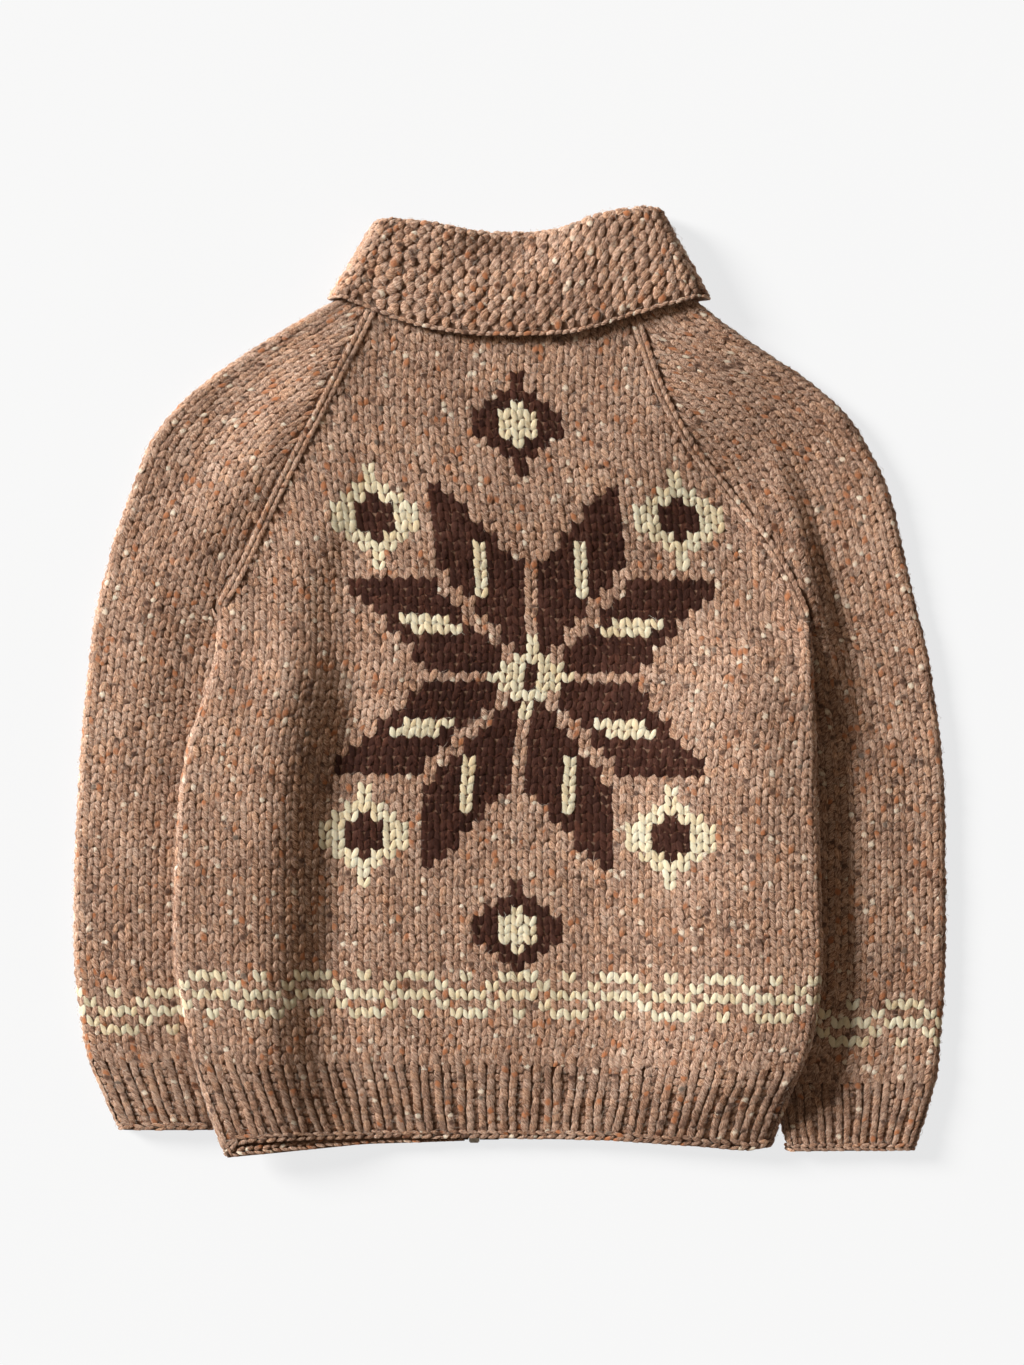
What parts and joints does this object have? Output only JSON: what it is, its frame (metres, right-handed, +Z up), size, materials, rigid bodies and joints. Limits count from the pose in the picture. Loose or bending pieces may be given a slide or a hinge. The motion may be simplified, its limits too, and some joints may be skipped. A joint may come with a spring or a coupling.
{
  "type": "cowichan sweater laid flat",
  "caption": "Child's zip-front hand-knit wool sweater lying flat on its front, raglan sleeves, ribbed hem and cuffs, garter stitch collar turned down, pattern bands on the back and sleeves.",
  "frame": {"origin": "centre of the bounding box on the floor that the sweater lies on", "axes": "+Z up through the back, +Y from the hem to the collar, +X towards the right sleeve"},
  "size_m": [0.5085, 0.551, 0.0223],
  "materials": {
    "tweed_wool": "bulky stocking stitch in taupe tweed wool",
    "rib_wool": "single rib in taupe tweed wool",
    "collar_wool": "garter stitch in taupe tweed wool",
    "zip_cloth": "woven dark brown zip tape",
    "zip_metal": "antique nickel"
  },
  "bodies": {
    "garment": {"back": "tweed_wool", "back_welt": "rib_wool", "front_left": "tweed_wool", "front_right": "tweed_wool", "front_left_welt": "rib_wool", "front_right_welt": "rib_wool", "sleeve_left": "tweed_wool", "sleeve_right": "tweed_wool", "cuff_left": "rib_wool", "cuff_right": "rib_wool", "collar": "collar_wool", "zip_tape_left": "zip_cloth", "zip_tape_right": "zip_cloth", "zip_chain": "zip_metal", "zip_box": "zip_metal", "zip_slider": "zip_metal"},
    "pull_tab": {"zip_pull": "zip_metal"}
  },
  "joints": [
    {"name": "pull_hinge", "type": "hinge", "parent": "garment", "child": "pull_tab", "pos_m": [0.0017, 0.166, 0.0056], "axis": [1, 0, 0], "range_deg": [-15, 165]}
  ]
}
